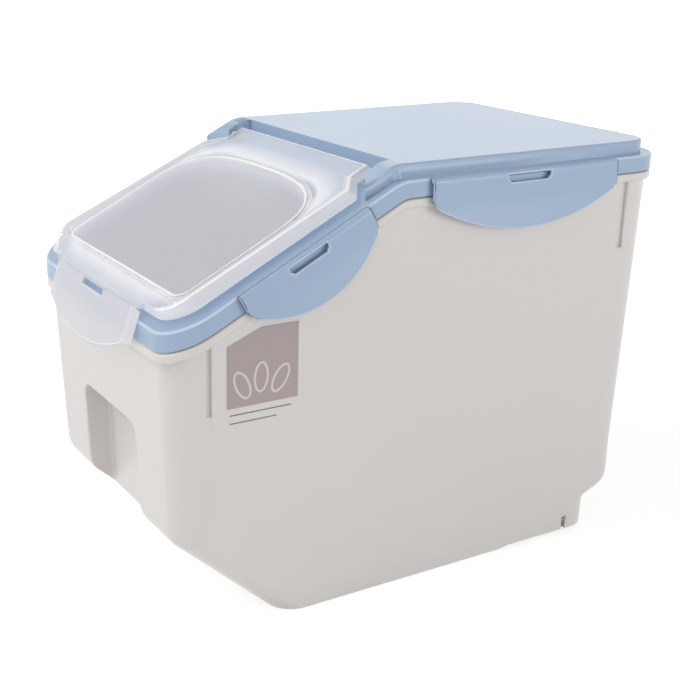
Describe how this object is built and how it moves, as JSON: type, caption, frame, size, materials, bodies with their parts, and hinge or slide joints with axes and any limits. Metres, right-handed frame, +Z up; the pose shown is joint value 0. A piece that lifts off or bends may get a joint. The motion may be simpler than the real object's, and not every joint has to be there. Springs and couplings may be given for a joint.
{
  "type": "rice bin with flip lid",
  "caption": "Wedge-fronted rice bin with a bent lift-off lid, a see-through flip lid over its pour opening, hinged side and front latches, and rear wheels.",
  "frame": {"origin": "on the floor, at the centre of the object's outline seen from above", "axes": "+Z up, front with the pour opening and grip pocket towards -Y, +X to the right when looking from the front towards +Y"},
  "size_m": [0.2238, 0.354, 0.2618],
  "materials": {
    "white_body": "semi-gloss white moulded plastic",
    "blue_lid": "satin pale blue moulded plastic",
    "clear_lid": "frosted see-through plastic",
    "seal": "soft white seal",
    "wheel": "grey moulded plastic",
    "pin": "light grey moulded plastic",
    "label": "matt printed paper sticker"
  },
  "bodies": {
    "bin": {"bin_tub": "white_body", "label_panel": "label", "axle_pin_left": "pin", "axle_pin_right": "pin"},
    "lid": {"lid_shell": "blue_lid", "lid_gasket": "seal"},
    "flip": {"flip_lid": "clear_lid", "flip_gasket": "seal"},
    "front_latch": {"flip_latch": "clear_lid"},
    "side_front_left_latch": {"latch_front_left": "blue_lid"},
    "side_front_right_latch": {"latch_front_right": "blue_lid"},
    "side_rear_left_latch": {"latch_rear_left": "blue_lid"},
    "side_rear_right_latch": {"latch_rear_right": "blue_lid"},
    "wheel_left_body": {"wheel_left": "wheel"},
    "wheel_right_body": {"wheel_right": "wheel"}
  },
  "joints": [
    {"name": "lid_lift", "type": "slide", "parent": "bin", "child": "lid", "axis": [0, 0, 1], "range_m": [0, 0.12]},
    {"name": "flip_lid_hinge", "type": "hinge", "parent": "lid", "child": "flip", "pos_m": [0, -0.03165, 0.25321], "axis": [-1, 0, 0], "range_deg": [0, 140]},
    {"name": "front_latch_hinge", "type": "hinge", "parent": "flip", "child": "front_latch", "pos_m": [0, -0.16576, 0.19002], "axis": [-1, 0, 0], "range_deg": [0, 90]},
    {"name": "latch_front_left_hinge", "type": "hinge", "parent": "lid", "child": "side_front_left_latch", "pos_m": [-0.1053, -0.08671, 0.22138], "axis": [0, 0.8934, 0.4493], "range_deg": [0, 100]},
    {"name": "latch_front_right_hinge", "type": "hinge", "parent": "lid", "child": "side_front_right_latch", "pos_m": [0.1053, -0.08671, 0.22138], "axis": [0, -0.8934, -0.4493], "range_deg": [0, 100]},
    {"name": "latch_rear_left_hinge", "type": "hinge", "parent": "lid", "child": "side_rear_left_latch", "pos_m": [-0.1053, 0.06304, 0.253], "axis": [0, 1, 0], "range_deg": [0, 100]},
    {"name": "latch_rear_right_hinge", "type": "hinge", "parent": "lid", "child": "side_rear_right_latch", "pos_m": [0.1053, 0.06304, 0.253], "axis": [0, -1, 0], "range_deg": [0, 100]},
    {"name": "wheel_left_spin", "type": "hinge", "parent": "bin", "child": "wheel_left_body", "pos_m": [-0.08763, 0.12054, 0.0096], "axis": [1, 0, 0], "continuous": true},
    {"name": "wheel_right_spin", "type": "hinge", "parent": "bin", "child": "wheel_right_body", "pos_m": [0.08763, 0.12054, 0.0096], "axis": [1, 0, 0], "continuous": true}
  ]
}
